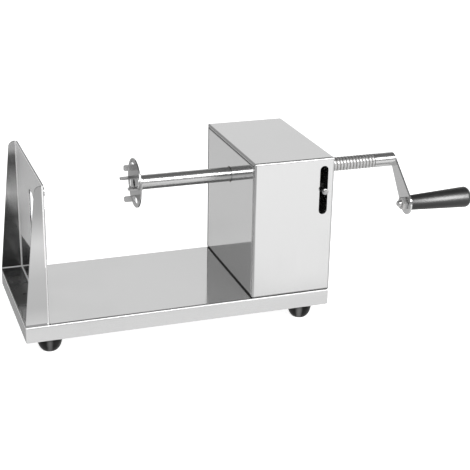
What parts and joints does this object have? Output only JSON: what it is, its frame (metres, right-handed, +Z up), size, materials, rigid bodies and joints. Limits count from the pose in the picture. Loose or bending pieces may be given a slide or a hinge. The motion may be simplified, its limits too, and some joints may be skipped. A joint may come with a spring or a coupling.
{
  "type": "tornado potato cutter",
  "caption": "Hand cranked spiral potato cutter: folded steel base with a blade stand, and a drive box whose threaded shaft feeds a pronged disc towards the blade.",
  "frame": {"origin": "centre of the whole machine at rest, on the plane that the four feet stand on", "axes": "+X along the shaft from the blade stand to the crank, +Y from the front with the lever slot to the back, +Z up"},
  "size_m": [0.5286, 0.1666, 0.189],
  "materials": {
    "steel_sheet": "polished stainless sheet",
    "blade_steel": "ground stainless blade",
    "shaft_steel": "turned and polished",
    "fastener_steel": "zinc plated",
    "spring_wire": "drawn spring wire",
    "bush_bronze": "machined bronze",
    "bush_nylon": "moulded nylon",
    "grip_plastic": "glossy black",
    "foot_rubber": "smooth black rubber"
  },
  "bodies": {
    "stand_frame": {"base_tray": "steel_sheet", "rubber_feet": "foot_rubber", "foot_screws": "fastener_steel", "foot_nuts": "fastener_steel", "blade_stand": "steel_sheet", "stand_screws": "fastener_steel", "blade": "blade_steel", "blade_spacers": "shaft_steel", "blade_screws": "fastener_steel", "blade_nuts": "fastener_steel", "skewer_guide": "shaft_steel", "box_cover": "steel_sheet", "left_panel": "steel_sheet", "right_panel": "steel_sheet", "box_screws": "fastener_steel", "box_nuts": "fastener_steel", "bush_housing": "shaft_steel", "housing_nuts": "fastener_steel", "outer_bush": "bush_nylon", "bush_ring": "fastener_steel", "pivot_screw": "fastener_steel", "pivot_spacer": "fastener_steel", "pivot_washer": "fastener_steel", "pivot_nut": "fastener_steel", "spring_shelf": "steel_sheet", "shelf_screws": "fastener_steel", "shelf_nuts": "fastener_steel", "return_spring": "spring_wire"},
    "drive_bush": {"guide_bush": "bush_bronze"},
    "shaft": {"shaft_tube": "shaft_steel", "lead_screw": "shaft_steel", "crank_collar": "shaft_steel", "prong_disc": "shaft_steel", "hub_collar": "shaft_steel", "crank_arm": "steel_sheet", "handle_bolt": "fastener_steel", "handle_nut": "fastener_steel", "grip_washer": "fastener_steel"},
    "handle": {"grip": "grip_plastic"},
    "release": {"release_lever": "steel_sheet", "half_nut": "bush_bronze", "half_nut_rivets": "fastener_steel", "lever_knob": "fastener_steel", "knob_nut": "fastener_steel"}
  },
  "joints": [
    {"name": "spin", "type": "hinge", "parent": "stand_frame", "child": "drive_bush", "pos_m": [-0.01675, 0.00325, 0.153], "axis": [1, 0, 0], "range_deg": [-7920, 5760]},
    {"name": "feed", "type": "slide", "parent": "drive_bush", "child": "shaft", "axis": [1, 0, 0], "range_m": [-0.088, 0.064]},
    {"name": "grip_spin", "type": "hinge", "parent": "shaft", "child": "handle", "pos_m": [0.18525, -0.03635, 0.112], "axis": [1, 0, 0], "continuous": true},
    {"name": "release_lever", "type": "hinge", "parent": "stand_frame", "child": "release", "pos_m": [0.06075, 0.06125, 0.1355], "axis": [1, 0, 0], "range_deg": [0, 8], "stiffness_Nm_per_rad": 0.6, "springref_deg": -20.05, "deforming": ["return_spring"]}
  ],
  "couplings": [
    {"joint": "feed", "follows": "spin", "m_per_rad": 0.0006366}
  ]
}
